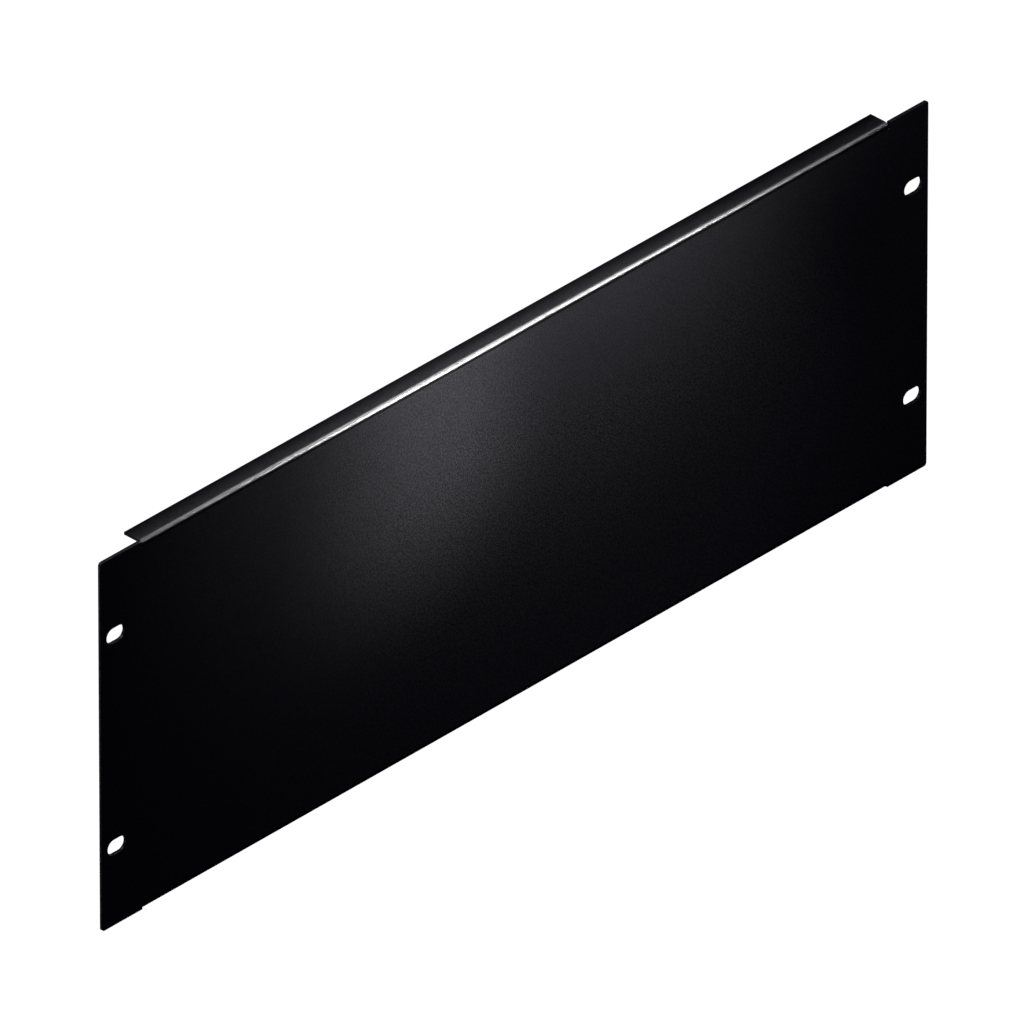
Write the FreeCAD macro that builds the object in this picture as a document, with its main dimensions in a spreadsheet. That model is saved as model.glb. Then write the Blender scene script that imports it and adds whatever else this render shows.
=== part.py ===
import FreeCAD, Part
import math
import os

import Sketcher
from FreeCAD import Vector

# Blanking panel for a 19-inch rack, four rack units tall. It is one sheet of steel: a flat front plate
# whose long edges are folded back as a top and a bottom flange. The flanges stop short of the sides, which
# leaves a flat ear at each end, and a narrow relief slit parts each flange end from its ear. Four slots in
# the ears take the screws.
#
# Frame, in millimetres: +X is to the right as seen from the front, the front faces -Y, and +Z is up. The
# origin is the middle of the four slots, on the plate's rear face, which seats on the rack's rails.

NODE = "blanking_panel"

SIZES = {
    "panel_width": 482.6,  # over both ears: 19 inches
    "panel_height": 177.0,  # four rack units of 44.45, less 0.8 so that neighbours don't touch
    "sheet_thickness": 1.5,
    "flange_depth": 10.0,  # from the plate's front face to a flange's rear edge
    "bend_radius": 0.5,  # on the inside of each fold
    "ear_width": 23.8,  # from the panel's side to the flanges' ends
    "relief_width": 0.5,  # of the slit between a flange's end and its ear
    "relief_overrun": 1.0,  # of that slit, past the fold
    "corner_radius": 1.5,  # of the ears' corners
    "slot_length": 10.5,
    "slot_width": 7.0,
    "slot_from_side": 8.75,  # slot's middle to the panel's side, so 465.1 from slot to slot
    "slot_from_edge": 37.7,  # slot's middle to the panel's top or bottom, so 101.6 from slot to slot
    "edge_round": 0.2,  # along the cut edges, as deburring and the coating leave them
}

START, END, CENTRE = range(1, 4)  # the points of a line or an arc, as the sketcher numbers them
LEVEL_AXIS, UP_AXIS = range(-1, -3, -1)  # the sketch's own axes, which start at its origin
ORIGIN = (LEVEL_AXIS, START)

SMOOTH = 0.5  # where two faces' normals have a cosine above this, one face runs on into the other
SAME = 1e-4  # two lengths or places closer than this are the same


def make_sheet(doc):
    """The driving sizes, one in each row: its name, then its value in a cell that has the same alias."""
    sheet = doc.addObject("Spreadsheet::Sheet", "Sizes")
    for row, (name, value) in enumerate(SIZES.items(), start=1):
        sheet.set(f"A{row}", name)
        sheet.set(f"B{row}", str(value))
        sheet.setAlias(f"B{row}", name)
    doc.recompute()


def origin_plane(body, role):
    return next(feature for feature in body.Origin.OriginFeatures if feature.Role == role)


def new_sketch(body, name, role):
    """An empty sketch on one of the body's origin planes."""
    sketch = body.newObject("Sketcher::SketchObject", name)
    sketch.AttachmentSupport = (origin_plane(body, role), "")
    sketch.MapMode = "FlatFace"
    return sketch


def tie(sketch, *words):
    return sketch.addConstraint(Sketcher.Constraint(*words))


def set_size(sketch, name, formula, kind, *where):
    """A named dimension that follows a formula of the sheet's sizes. It starts from the size as drawn."""
    if kind == "Radius":
        drawn = sketch.Geometry[where[0]].Radius
    else:
        step = sketch.getPoint(*where[2:]) - sketch.getPoint(*where[:2])
        drawn = step.x if kind == "DistanceX" else step.y
    tie(sketch, kind, *where, drawn)
    sketch.renameConstraint(sketch.ConstraintCount - 1, name)
    sketch.setExpression(f"Constraints.{name}", formula)


def draw_outline(sketch, corners):
    """Draws a closed outline of upright and level lines, anticlockwise, with arcs at rounded corners.

    corners holds (x, y, radius), and a radius of 0 is a sharp corner. Returns the lines, where line i
    starts at corner i, and the arcs by their corner's number.
    """
    count = len(corners)
    points = [Vector(x, y, 0) for x, y, radius in corners]
    radii = [radius for x, y, radius in corners]
    steps = [(points[(i + 1) % count] - points[i]).normalize() for i in range(count)]

    lines = []
    for i in range(count):
        start = points[i] + steps[i] * radii[i]
        end = points[(i + 1) % count] - steps[i] * radii[(i + 1) % count]
        lines.append(sketch.addGeometry(Part.LineSegment(start, end), False))
        tie(sketch, "Horizontal" if abs(steps[i].x) > abs(steps[i].y) else "Vertical", lines[i])

    arcs = {}
    for i in range(count):
        before, after = lines[i - 1], lines[i]
        if not radii[i]:
            tie(sketch, "Coincident", before, END, after, START)
            continue
        centre = points[i] + (steps[i] - steps[i - 1]) * radii[i]
        outer_corner = steps[i - 1].cross(steps[i]).z > 0
        from_centre = -steps[i] if outer_corner else steps[i - 1]
        begin = math.atan2(from_centre.y, from_centre.x)
        circle = Part.Circle(centre, Vector(0, 0, 1), radii[i])
        arcs[i] = sketch.addGeometry(Part.ArcOfCircle(circle, begin, begin + math.pi / 2), False)
        first, last = (START, END) if outer_corner else (END, START)
        tie(sketch, "Tangent", before, END, arcs[i], first)
        tie(sketch, "Tangent", arcs[i], last, after, START)
    return lines, arcs


def draw_plate(sketch):
    """The plate's outline over both ears, with rounded corners."""
    side = SIZES["panel_width"] / 2
    top = SIZES["panel_height"] / 2
    radius = SIZES["corner_radius"]
    corners = [(-side, -top, radius), (side, -top, radius), (side, top, radius), (-side, top, radius)]
    lines, arcs = draw_outline(sketch, corners)
    bottom_line, right_line, top_line, left_line = lines
    set_size(sketch, "width", "Sizes.panel_width", "DistanceX", left_line, START, right_line, START)
    set_size(sketch, "half_width", "Sizes.panel_width / 2", "DistanceX", *ORIGIN, right_line, START)
    set_size(sketch, "height", "Sizes.panel_height", "DistanceY", bottom_line, START, top_line, START)
    set_size(sketch, "half_height", "Sizes.panel_height / 2", "DistanceY", *ORIGIN, top_line, START)
    first_arc, *other_arcs = arcs.values()
    set_size(sketch, "corner", "Sizes.corner_radius", "Radius", first_arc)
    for arc in other_arcs:
        tie(sketch, "Equal", first_arc, arc)


def draw_fold_clearance(sketch):
    """Two bands along the plate's top and bottom, which make way for the folds and the relief slits."""
    side = SIZES["panel_width"] / 2 - SIZES["ear_width"] + SIZES["relief_width"]
    past = SIZES["relief_overrun"]
    top = SIZES["panel_height"] / 2
    floor = top - SIZES["bend_radius"] - SIZES["sheet_thickness"] - past
    half_width = "Sizes.panel_width / 2 - Sizes.ear_width + Sizes.relief_width"
    fold_height = "Sizes.panel_height / 2 - Sizes.bend_radius - Sizes.sheet_thickness"
    floor_height = f"{fold_height} - Sizes.relief_overrun"
    past_height = "Sizes.panel_height / 2 + Sizes.relief_overrun"
    for band, low, high in (("upper", floor, top + past), ("lower", -top - past, -floor)):
        corners = [(-side, low, 0), (side, low, 0), (side, high, 0), (-side, high, 0)]
        lines, _ = draw_outline(sketch, corners)
        low_line, right_line, high_line, left_line = lines
        set_size(sketch, f"{band}_right", half_width, "DistanceX", *ORIGIN, right_line, START)
        set_size(sketch, f"{band}_left", half_width, "DistanceX", left_line, START, *ORIGIN)
        if band == "upper":
            set_size(sketch, "upper_floor", floor_height, "DistanceY", *ORIGIN, low_line, START)
            set_size(sketch, "upper_past", past_height, "DistanceY", *ORIGIN, high_line, START)
        else:
            set_size(sketch, "lower_floor", floor_height, "DistanceY", high_line, START, *ORIGIN)
            set_size(sketch, "lower_past", past_height, "DistanceY", low_line, START, *ORIGIN)


def draw_channel(sketch):
    """The folded sheet's section, where x runs to the rear: a web with a flange at its top and bottom."""
    sheet = SIZES["sheet_thickness"]
    rear = SIZES["flange_depth"] - sheet
    top = SIZES["panel_height"] / 2
    inner = SIZES["bend_radius"]
    outer = inner + sheet
    lines, arcs = draw_outline(
        sketch,
        [
            (-sheet, -top, outer),
            (rear, -top, 0),
            (rear, -top + sheet, 0),
            (0, -top + sheet, inner),
            (0, top - sheet, inner),
            (rear, top - sheet, 0),
            (rear, top, 0),
            (-sheet, top, outer),
        ],
    )
    bottom_line, bottom_edge, _, web_rear, _, top_edge, top_line, web_front = lines
    tie(sketch, "PointOnObject", web_rear, START, UP_AXIS)
    set_size(sketch, "web", "Sizes.sheet_thickness", "DistanceX", web_front, START, *ORIGIN)
    set_size(sketch, "height", "Sizes.panel_height", "DistanceY", bottom_line, START, top_line, START)
    set_size(sketch, "half_height", "Sizes.panel_height / 2", "DistanceY", *ORIGIN, top_line, START)
    set_size(sketch, "flange", "Sizes.sheet_thickness", "DistanceY", top_edge, START, top_edge, END)
    tie(sketch, "Equal", top_edge, bottom_edge)
    set_size(sketch, "depth", "Sizes.flange_depth", "DistanceX", web_front, START, top_edge, START)
    tie(sketch, "Vertical", bottom_edge, END, top_edge, START)
    set_size(sketch, "inner_bend", "Sizes.bend_radius", "Radius", arcs[3])
    tie(sketch, "Equal", arcs[3], arcs[4])
    set_size(sketch, "outer_bend", "Sizes.bend_radius + Sizes.sheet_thickness", "Radius", arcs[0])
    tie(sketch, "Equal", arcs[0], arcs[7])


def draw_slot(sketch):
    """The upper right slot, level, with round ends."""
    radius = SIZES["slot_width"] / 2
    reach = SIZES["slot_length"] / 2 - radius
    across = SIZES["panel_width"] / 2 - SIZES["slot_from_side"]
    up = SIZES["panel_height"] / 2 - SIZES["slot_from_edge"]

    def end_arc(x, begin):
        circle = Part.Circle(Vector(x, up, 0), Vector(0, 0, 1), radius)
        return sketch.addGeometry(Part.ArcOfCircle(circle, begin, begin + math.pi), False)

    def level_line(x_from, x_to, y):
        return sketch.addGeometry(Part.LineSegment(Vector(x_from, y, 0), Vector(x_to, y, 0)), False)

    right_end = end_arc(across + reach, -math.pi / 2)
    upper = level_line(across + reach, across - reach, up + radius)
    left_end = end_arc(across - reach, math.pi / 2)
    lower = level_line(across - reach, across + reach, up - radius)
    loop = [right_end, upper, left_end, lower]
    for before, after in zip(loop, loop[1:] + loop[:1]):
        tie(sketch, "Tangent", before, END, after, START)
    tie(sketch, "Horizontal", upper)
    tie(sketch, "Horizontal", lower)

    middle = "Sizes.panel_width / 2 - Sizes.slot_from_side"
    reach_of = "(Sizes.slot_length - Sizes.slot_width) / 2"
    height = "Sizes.panel_height / 2 - Sizes.slot_from_edge"
    set_size(sketch, "right", f"{middle} + {reach_of}", "DistanceX", *ORIGIN, right_end, CENTRE)
    set_size(sketch, "left", f"{middle} - {reach_of}", "DistanceX", *ORIGIN, left_end, CENTRE)
    set_size(sketch, "up", height, "DistanceY", *ORIGIN, right_end, CENTRE)
    set_size(sketch, "end_radius", "Sizes.slot_width / 2", "Radius", right_end)


def new_feature(body, kind, name, sizes=None, **properties):
    """Adds a PartDesign feature as the body's tip. sizes holds the properties that follow a formula."""
    feature = body.newObject(f"PartDesign::{kind}", name)
    for key, value in properties.items():
        setattr(feature, key, value)
    for key, formula in (sizes or {}).items():
        feature.setExpression(key, formula)
    body.Tip = feature
    body.Document.recompute()
    return feature


def check_change(before, after, adds):
    """Stops the build where a feature did nothing, or did the reverse of its work."""
    change = after.Shape.Volume - before.Shape.Volume
    if (change > 0) != adds or abs(change) < SAME:
        raise RuntimeError(f"{after.Name} changed the volume by {change:.4f} cubic mm")


def add_plate(body):
    sketch = new_sketch(body, "PlateOutline", "XZ_Plane")
    draw_plate(sketch)
    return new_feature(body, "Pad", "Plate", {"Length": "Sizes.sheet_thickness"}, Profile=sketch)


def clear_folds(body, plate):
    sketch = new_sketch(body, "FoldClearanceOutline", "XZ_Plane")
    draw_fold_clearance(sketch)
    through = {"Type": "ThroughAll", "SideType": "Symmetric"}
    pocket = new_feature(body, "Pocket", "FoldClearance", Profile=sketch, **through)
    check_change(plate, pocket, adds=False)
    return pocket


def add_channel(body, cleared):
    sketch = new_sketch(body, "ChannelSection", "YZ_Plane")
    draw_channel(sketch)
    length = {"Length": "Sizes.panel_width - 2 * Sizes.ear_width"}
    channel = new_feature(body, "Pad", "Channel", length, Profile=sketch, SideType="Symmetric")
    check_change(cleared, channel, adds=True)
    return channel


def cut_slots(body, channel):
    """One slot, mirrored to the other ear, and both of them mirrored down."""
    sketch = new_sketch(body, "SlotOutline", "XZ_Plane")
    draw_slot(sketch)
    through = {"Type": "ThroughAll", "SideType": "Symmetric"}
    slot = new_feature(body, "Pocket", "Slot", Profile=sketch, **through)
    check_change(channel, slot, adds=False)

    mirrors = []
    for name, role in (("SlotsAcross", "YZ_Plane"), ("SlotsDown", "XY_Plane")):
        mirror = body.Document.addObject("PartDesign::Mirrored", name)
        mirror.MirrorPlane = (origin_plane(body, role), [""])
        mirrors.append(mirror)
    slots = new_feature(body, "MultiTransform", "Slots", Originals=[slot], Transformations=mirrors)
    check_change(slot, slots, adds=False)
    return slots


def runs_through_sheet(edge):
    """True for a short straight edge from one surface of the sheet to the other, as at a corner."""
    flange_rear = SIZES["flange_depth"] - SIZES["sheet_thickness"]
    box = edge.BoundBox
    reach = box.ZLength if abs(box.Center.y - flange_rear) < SAME else box.YLength
    return abs(reach - edge.Length) < SAME and abs(edge.Length - SIZES["sheet_thickness"]) < SAME


def is_rear_slot_rim(edge):
    """True for the rims that lie on the rack's rails, which stay sharp."""
    middle = edge.CenterOfMass
    across = SIZES["panel_width"] / 2 - SIZES["slot_from_side"]
    up = SIZES["panel_height"] / 2 - SIZES["slot_from_edge"]
    in_slot_width = abs(abs(middle.x) - across) < SIZES["slot_length"] / 2
    in_slot_height = abs(abs(middle.z) - up) < SIZES["slot_width"] / 2 + SAME
    return in_slot_width and in_slot_height and abs(middle.y) < SAME


def cut_edge_names(shape):
    """The edges to round, where a cut meets a surface of the sheet."""
    names = []
    for number, edge in enumerate(shape.Edges, start=1):
        middle = edge.valueAt((edge.FirstParameter + edge.LastParameter) / 2)
        faces = shape.ancestorsOfType(edge, Part.Face)
        normals = [face.normalAt(*face.Surface.parameter(middle)) for face in faces]
        is_seam = len(normals) < 2
        if is_seam or abs(normals[0].dot(normals[1])) > SMOOTH:
            continue
        if not runs_through_sheet(edge) and not is_rear_slot_rim(edge):
            names.append(f"Edge{number}")
    return names


def round_cut_edges(body, slots):
    edges = (slots, cut_edge_names(slots.Shape))
    rounded = new_feature(body, "Fillet", "EdgeRound", {"Radius": "Sizes.edge_round"}, Base=edges)
    check_change(slots, rounded, adds=False)
    return rounded


def check_model(doc, body):
    for item in doc.Objects:
        if "Invalid" in item.State or "Error" in item.State:
            raise RuntimeError(f"{item.Name} is {item.State}")
        if item.isDerivedFrom("Sketcher::SketchObject") and not item.FullyConstrained:
            raise RuntimeError(f"{item.Name} has a size that nothing sets")
    shape = body.Shape
    if shape.isNull() or not shape.isValid() or len(shape.Solids) != 1:
        raise RuntimeError(f"{body.Label} is not one sound solid")


def main():
    doc = FreeCAD.newDocument("RackBlankingPanel")
    make_sheet(doc)
    body = doc.addObject("PartDesign::Body", "BlankingPanel")
    body.Label = NODE
    body.Placement = FreeCAD.Placement()

    plate = add_plate(body)
    cleared = clear_folds(body, plate)
    channel = add_channel(body, cleared)
    slots = cut_slots(body, channel)
    round_cut_edges(body, slots)

    doc.recompute()
    check_model(doc, body)
    os.makedirs("parts", exist_ok=True)
    body.Shape.exportStep(f"parts/{body.Label}.step")
    print(f"{body.Label}: {body.Shape.Volume / 1000:.2f} cubic cm, {len(body.Shape.Faces)} faces")


main()
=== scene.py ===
import math

import bpy
from mathutils import Matrix, Vector


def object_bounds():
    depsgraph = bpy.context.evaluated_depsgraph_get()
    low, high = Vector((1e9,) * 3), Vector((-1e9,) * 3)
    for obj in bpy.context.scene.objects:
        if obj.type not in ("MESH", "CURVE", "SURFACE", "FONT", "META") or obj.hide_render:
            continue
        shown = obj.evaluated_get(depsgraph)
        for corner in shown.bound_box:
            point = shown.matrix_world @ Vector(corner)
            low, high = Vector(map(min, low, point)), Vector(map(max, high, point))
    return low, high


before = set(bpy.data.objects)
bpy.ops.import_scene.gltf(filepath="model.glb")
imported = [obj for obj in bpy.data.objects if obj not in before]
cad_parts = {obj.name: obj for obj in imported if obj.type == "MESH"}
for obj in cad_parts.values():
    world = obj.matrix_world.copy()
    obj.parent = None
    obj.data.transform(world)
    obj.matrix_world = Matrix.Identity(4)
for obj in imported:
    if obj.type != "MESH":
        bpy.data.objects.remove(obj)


def box_list():
    return [list(corner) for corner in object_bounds()]


cad_box = box_list()
low, high = Vector(cad_box[0]), Vector(cad_box[1])

# The panel in metres. Its origin lies in the middle of the four slots, on the face that
# rests on the rack's rails. The front looks along -Y, and the flanges reach back along +Y.
EAR_WIDTH = 0.0238
FOLD_RADIUS = 0.002  # outside
half_width, half_height, flange_edge = high.x, high.z, high.y
folded_half = half_width - EAR_WIDTH  # the folds stop where the ears begin
fold_start = half_height - FOLD_RADIUS

FLOOR_DROP = 1.6  # the panel hangs by its mount, and the floor is this far under it
FLOOR_REACH = 30.0
FLOOR_LEVEL = 1.15  # how strongly the floor's own lamp lights it, where 1 is plain
WORLD_LEVEL = 0.005
TENT_RADIUS = 1.3
TENT_LEVEL = 0.01

# The camera stands far away behind a very long lens, so there is hardly any perspective.
LENS = 1700.0
SENSOR_WIDTH = 36.0
VIEW_WIDTH = 0.4152  # what the picture's width takes in at the panel
VIEW_RIGHT, VIEW_UP = -0.00118, 0.00033  # the picture's middle, from the origin
CAMERA_AZIMUTH, CAMERA_ELEVATION = -46.03, 32.92  # degrees

WHITE = (1, 1, 1, 1)
PALE = (0.9, 0.9, 0.9, 1)
FAINT_BLUE = (0.08, 0.02, 1.0, 1)

# The coat's zones, in metres: how softly they end at the ears, the thin darker line
# along each fold, and how a fold begins and passes into its flange.
EAR_BLEND = 0.0005
LINE_HALF_WIDTH, LINE_FADE = 0.0004, 0.0005
FOLD_BLEND = 0.0002
FOLD_END, FLANGE_START = 0.0002, 0.0008
FLANGE_PAINTED_SHADE_START = 0.0005  # from here to its free edge a flange's colour and shine darken, a painted shade

# How much of a face's normal lies sideways where a cut edge begins, and where it is all cut.
CUT_START, CUT_FULL = 0.15, 0.6

# The coat's two noises, each with its scale and detail, and the spans of them that are used.
GRAIN = 1250.0, 2.0  # the speckle, under a millimetre across
CLOUD = 28.0, 4.0  # how evenly it was sprayed
NARROW_SPAN = 0.35, 0.65
WIDE_SPAN = 0.3, 0.7

# What they do to the coat, from a noise's low end to its high end.
DARK_GRAIN, PALE_GRAIN = (0.0045, 0.0045, 0.0053, 1), (0.0155, 0.0155, 0.0177, 1)
GRAIN_SHINE = 0.6, 1.0
CLOUD_SHINE = 0.9, 1.0
GRAIN_ROUGHNESS = 0.29, 0.335
CLOUD_ROUGHNESS = -0.006, 0.006
GRAIN_DEPTH = 0.00006  # metres

# What the zones do: the share of the colour and shine that is left at a flange's free edge
# and on a cut edge, both painted shade, the share that the darker fold line takes, and what
# a fold or a cut edge adds; a fold's added shine is a painted highlight.
FREE_EDGE_PAINTED_SHADE, CUT_EDGE_PAINTED_SHADE, LINE_TAKES = 0.04, 0.4, 0.85
FOLD_PAINTED_SHEEN = 0.24
FOLD_ROUGHNESS, CUT_ROUGHNESS = 0.085, 0.05


# Nodes


def new_material(name):
    material = bpy.data.materials.new(name)
    material.use_nodes = True
    tree = material.node_tree
    tree.nodes.clear()
    return material, tree


def node(tree, kind, **inputs):
    """A node with numbers or colours set on its sockets. An underscore stands for a space."""
    made = tree.nodes.new(kind)
    for key, value in inputs.items():
        made.inputs[key.replace("_", " ")].default_value = value
    return made


def chain(tree, operation, first, second=None, third=None):
    """A Math node. Sockets are linked and numbers are set."""
    made = tree.nodes.new("ShaderNodeMath")
    made.operation = operation
    for index, value in enumerate((first, second, third)):
        if value is None:
            continue
        if isinstance(value, (int, float)):
            made.inputs[index].default_value = value
        else:
            tree.links.new(value, made.inputs[index])
    return made.outputs["Value"]


def ranged(tree, value, from_min, from_max, to_min, to_max):
    """Takes a value from one range to another, and holds it at the ends."""
    made = node(
        tree,
        "ShaderNodeMapRange",
        From_Min=from_min,
        From_Max=from_max,
        To_Min=to_min,
        To_Max=to_max,
    )
    tree.links.new(value, made.inputs["Value"])
    return made.outputs["Result"]


def noise(tree, coords, scale, detail):
    made = node(tree, "ShaderNodeTexNoise", Scale=scale, Detail=detail, Roughness=0.6)
    tree.links.new(coords.outputs["Object"], made.inputs["Vector"])
    return made.outputs["Fac"]


def split(tree, vector):
    made = tree.nodes.new("ShaderNodeSeparateXYZ")
    tree.links.new(vector, made.inputs["Vector"])
    return made.outputs


# The powder coat


def coat_places(tree, place):
    """Where the thin darker line along each fold is, where the folds are, and where the cut edges
    are.
    """
    side = chain(tree, "ABSOLUTE", place["X"])
    tall = chain(tree, "ABSOLUTE", place["Z"])
    between_ears = ranged(tree, side, folded_half - EAR_BLEND, folded_half, 1.0, 0.0)

    # A thin line along where each fold begins is made darker and duller.
    off_line = chain(tree, "ABSOLUTE", chain(tree, "SUBTRACT", tall, fold_start))
    line_end = LINE_HALF_WIDTH + LINE_FADE
    dull = ranged(tree, off_line, LINE_HALF_WIDTH, line_end, LINE_TAKES, 0.0)
    dull = chain(tree, "MULTIPLY", dull, between_ears)

    # The outside of the round, from the front to where the flange begins.
    on_fold = ranged(tree, tall, fold_start - FOLD_BLEND, fold_start + FOLD_BLEND, 0.0, 1.0)
    before_flange = ranged(tree, place["Y"], FOLD_END, FLANGE_START, 1.0, 0.0)
    on_fold = chain(tree, "MULTIPLY", on_fold, before_flange)
    on_fold = chain(tree, "MULTIPLY", on_fold, between_ears)

    # The cut edges face sideways, and on the ears also up or down.
    facing = tree.nodes.new("ShaderNodeNewGeometry")
    turned = split(tree, facing.outputs["Normal"])
    on_ears = chain(tree, "SUBTRACT", 1.0, between_ears)
    upright = chain(tree, "MULTIPLY", chain(tree, "ABSOLUTE", turned["Z"]), on_ears)
    cut = chain(tree, "MAXIMUM", chain(tree, "ABSOLUTE", turned["X"]), upright)
    cut = ranged(tree, cut, CUT_START, CUT_FULL, 0.0, 1.0)
    return dull, on_fold, cut


def powder_coat():
    material, tree = new_material("black_powder_coat")
    link = tree.links.new
    out = tree.nodes.new("ShaderNodeOutputMaterial")
    shader = node(tree, "ShaderNodeBsdfPrincipled", IOR=1.6)
    link(shader.outputs["BSDF"], out.inputs["Surface"])
    coords = tree.nodes.new("ShaderNodeTexCoord")
    place = split(tree, coords.outputs["Object"])
    grain = noise(tree, coords, *GRAIN)
    cloud = noise(tree, coords, *CLOUD)
    dull, on_fold, cut = coat_places(tree, place)

    # Painted shade: the colour and shine darken towards the flanges' free edges and on cut edges,
    # and also on the thin line along each fold.
    painted_shade = ranged(tree, place["Y"], FLANGE_PAINTED_SHADE_START, flange_edge, 1.0, FREE_EDGE_PAINTED_SHADE)
    painted_shade = chain(tree, "MULTIPLY", painted_shade, chain(tree, "SUBTRACT", 1.0, dull))
    # On cut edges the colour and shine are darkened, a painted shade that keeps their highlight
    # faint.
    painted_shade = chain(tree, "MULTIPLY", painted_shade, ranged(tree, cut, 0.0, 1.0, 1.0, CUT_EDGE_PAINTED_SHADE))

    # It shines less between its grains and where it is thin, and most along the folds,
    # where the added shine is a painted highlight.
    grain_shine = ranged(tree, grain, *NARROW_SPAN, *GRAIN_SHINE)
    cloud_shine = ranged(tree, cloud, *WIDE_SPAN, *CLOUD_SHINE)
    shine = chain(tree, "MULTIPLY", grain_shine, cloud_shine)
    shine = chain(tree, "MULTIPLY_ADD", on_fold, FOLD_PAINTED_SHEEN, shine)
    shine = chain(tree, "MINIMUM", shine, 1.0)
    shine = chain(tree, "MULTIPLY", painted_shade, shine)
    grey = tree.nodes.new("ShaderNodeCombineColor")
    for channel in ("Red", "Green", "Blue"):
        link(shine, grey.inputs[channel])
    link(grey.outputs["Color"], shader.inputs["Specular Tint"])

    tint = tree.nodes.new("ShaderNodeValToRGB")
    darkest, palest = tint.color_ramp.elements
    darkest.position, palest.position = NARROW_SPAN
    darkest.color, palest.color = DARK_GRAIN, PALE_GRAIN
    link(grain, tint.inputs["Fac"])
    body = tree.nodes.new("ShaderNodeVectorMath")
    body.operation = "SCALE"
    link(tint.outputs["Color"], body.inputs["Vector"])
    link(painted_shade, body.inputs["Scale"])
    link(body.outputs["Vector"], shader.inputs["Base Color"])

    grain_rough = ranged(tree, grain, *WIDE_SPAN, *GRAIN_ROUGHNESS)
    cloud_rough = ranged(tree, cloud, *WIDE_SPAN, *CLOUD_ROUGHNESS)
    rough = chain(tree, "ADD", grain_rough, cloud_rough)
    rough = chain(tree, "MULTIPLY_ADD", on_fold, FOLD_ROUGHNESS, rough)  # stretched over the fold
    rough = chain(tree, "MULTIPLY_ADD", cut, CUT_ROUGHNESS, rough)
    link(rough, shader.inputs["Roughness"])

    bump = node(tree, "ShaderNodeBump", Strength=1.0, Distance=GRAIN_DEPTH)
    link(grain, bump.inputs["Height"])
    link(bump.outputs["Normal"], shader.inputs["Normal"])
    return material


coat = powder_coat()
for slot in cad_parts["blanking_panel"].material_slots:
    slot.material = coat


# The studio


def link_object(name, data):
    made = bpy.data.objects.new(name, data)
    bpy.context.scene.collection.objects.link(made)
    return made


def towards(azimuth, elevation):
    """The direction from the panel to a thing at that azimuth from its front, in degrees."""
    round_about, above = math.radians(azimuth), math.radians(elevation)
    level = Vector((math.sin(round_about), -math.cos(round_about), 0))
    return level * math.cos(above) + Vector((0, 0, math.sin(above)))


def softbox(name, azimuth, elevation, distance, aim, size, radiance, spread=180):
    """A softbox that the camera can't see, aimed at a point (x, z) of the panel's plane.

    A narrower spread makes it brighter on its axis.
    """
    width, height = size
    data = bpy.data.lights.new(name, "AREA")
    data.shape = "RECTANGLE"
    data.size, data.size_y = width, height
    data.energy = radiance * 4 * width * height
    data.spread = math.radians(spread)
    lamp = link_object(name, data)
    lamp.visible_camera = False
    lamp.location = towards(azimuth, elevation) * distance
    lamp.rotation_mode = "QUATERNION"
    target = Vector((aim[0], 0, aim[1]))
    lamp.rotation_quaternion = (target - lamp.location).to_track_quat("-Z", "Y")


# A narrow beam from close by on the right makes the glow on the front.
softbox("side_softbox", 30, 23, 0.39, (-0.05, 0.095), (0.04, 0.16), radiance=4, spread=16.5)
# The key stands where the top fold mirrors it, and makes the bright band there. Its beam
# passes over the panel, whose front gets only its lower edge.
softbox("key_softbox", 39, 31, 1.25, (0.04, 0.235), (0.10, 0.20), radiance=15, spread=17)
# A strip just above the panel and a box high on the right light the front from its top down.
softbox("low_strip", 66, 60, 0.245, (-0.02, 0.025), (0.03, 0.35), radiance=4.4, spread=70)
softbox("overhead_softbox", 60, 51, 1.16, (0.28, 0.17), (0.26, 0.32), radiance=2, spread=65)
# From behind and above comes the sheen on the top flange.
softbox("rear_top_softbox", -112, 58, 1.09, (-0.16, -0.30), (0.31, 0.37), radiance=10, spread=110)
# Three low boxes light the back.
softbox("rear_softbox", -150, -18, 1.15, (0.05, 0.04), (0.70, 0.50), radiance=0.09, spread=45)
softbox("rear_fill", 139, -10, 1.15, (0, 0), (0.60, 0.45), radiance=0.07, spread=60)
softbox("rear_middle", 177, -11, 1.12, (0, 0), (0.60, 0.45), radiance=0.3)

# The world is plain white to the camera and in reflections, and lights nothing much.
world = bpy.data.worlds.new("studio")
world.use_nodes = True
tree = world.node_tree
tree.nodes.clear()
path = tree.nodes.new("ShaderNodeLightPath")
seen = chain(tree, "MAXIMUM", path.outputs["Is Camera Ray"], path.outputs["Is Glossy Ray"])
seen = chain(tree, "MAXIMUM", seen, path.outputs["Is Transmission Ray"])
dim = node(tree, "ShaderNodeBackground", Color=WHITE, Strength=WORLD_LEVEL)
white = node(tree, "ShaderNodeBackground", Color=WHITE, Strength=1.0)
mix = tree.nodes.new("ShaderNodeMixShader")
out = tree.nodes.new("ShaderNodeOutputWorld")
tree.links.new(seen, mix.inputs["Fac"])
tree.links.new(dim.outputs["Background"], mix.inputs[1])
tree.links.new(white.outputs["Background"], mix.inputs[2])
tree.links.new(mix.outputs["Shader"], out.inputs["Surface"])
bpy.context.scene.world = world

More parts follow.
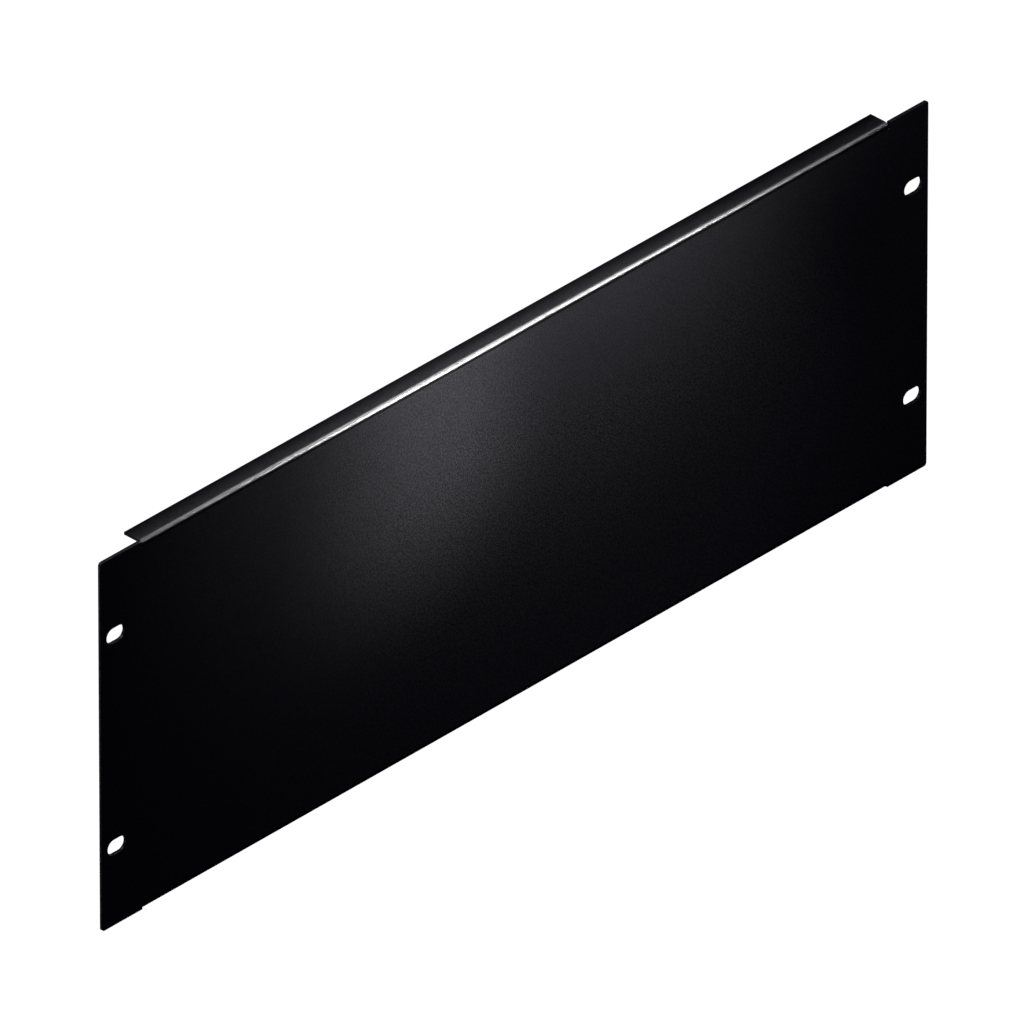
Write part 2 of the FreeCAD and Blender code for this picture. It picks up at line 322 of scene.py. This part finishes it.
floor_coat, tree = new_material("pale_floor")
shader = node(tree, "ShaderNodeBsdfDiffuse", Color=PALE)
out = tree.nodes.new("ShaderNodeOutputMaterial")
tree.links.new(shader.outputs["BSDF"], out.inputs["Surface"])

floor_z = low.z - FLOOR_DROP
corners = [
    (x * FLOOR_REACH, y * FLOOR_REACH, floor_z)
    for x, y in ((-1, -1), (1, -1), (1, 1), (-1, 1))
]
floor_mesh = bpy.data.meshes.new("floor")
floor_mesh.from_pydata(corners, [], [(0, 1, 2, 3)])
floor_mesh.materials.append(floor_coat)
floor = link_object("floor", floor_mesh)

# The floor has a lamp of its own, so that it is white with no more light on the panel.
floor_light = bpy.data.lights.new("floor_lamp", "SUN")
floor_light.energy = FLOOR_LEVEL * math.pi
floor_light.angle = math.radians(40)
floor_lamp = link_object("floor_lamp", floor_light)
only_floor = bpy.data.collections.new("only_floor")
only_floor.objects.link(floor)
floor_lamp.light_linking.receiver_collection = only_floor

# A dark tent stands round the panel, unseen by the camera, so that the black coat doesn't
# mirror a white room. It glows a faint blue.
cloth, tree = new_material("black_cloth")
glow = node(tree, "ShaderNodeEmission", Color=FAINT_BLUE, Strength=TENT_LEVEL)
out = tree.nodes.new("ShaderNodeOutputMaterial")
tree.links.new(glow.outputs["Emission"], out.inputs["Surface"])
bpy.ops.mesh.primitive_uv_sphere_add(
    segments=48, ring_count=24, radius=TENT_RADIUS, location=(low + high) / 2
)
tent = bpy.context.object
tent.name = "dark_tent"
tent.data.materials.append(cloth)
tent.visible_camera = False
tent.visible_shadow = False

# The camera

camera_data = bpy.data.cameras.new("camera")
camera_data.sensor_width = SENSOR_WIDTH
camera_data.lens = LENS
camera = link_object("camera", camera_data)
back = towards(CAMERA_AZIMUTH, CAMERA_ELEVATION)
right = Vector((0, 0, 1)).cross(back).normalized()
up = back.cross(right)
distance = VIEW_WIDTH * LENS / SENSOR_WIDTH
turned = Matrix((right, up, back)).transposed().to_4x4()
aim = right * VIEW_RIGHT + up * VIEW_UP
camera.matrix_world = Matrix.Translation(aim + back * distance) @ turned
camera_data.clip_start = 1.0
camera_data.clip_end = 2 * distance
bpy.context.scene.camera = camera
bpy.context.scene.view_settings.view_transform = "Standard"
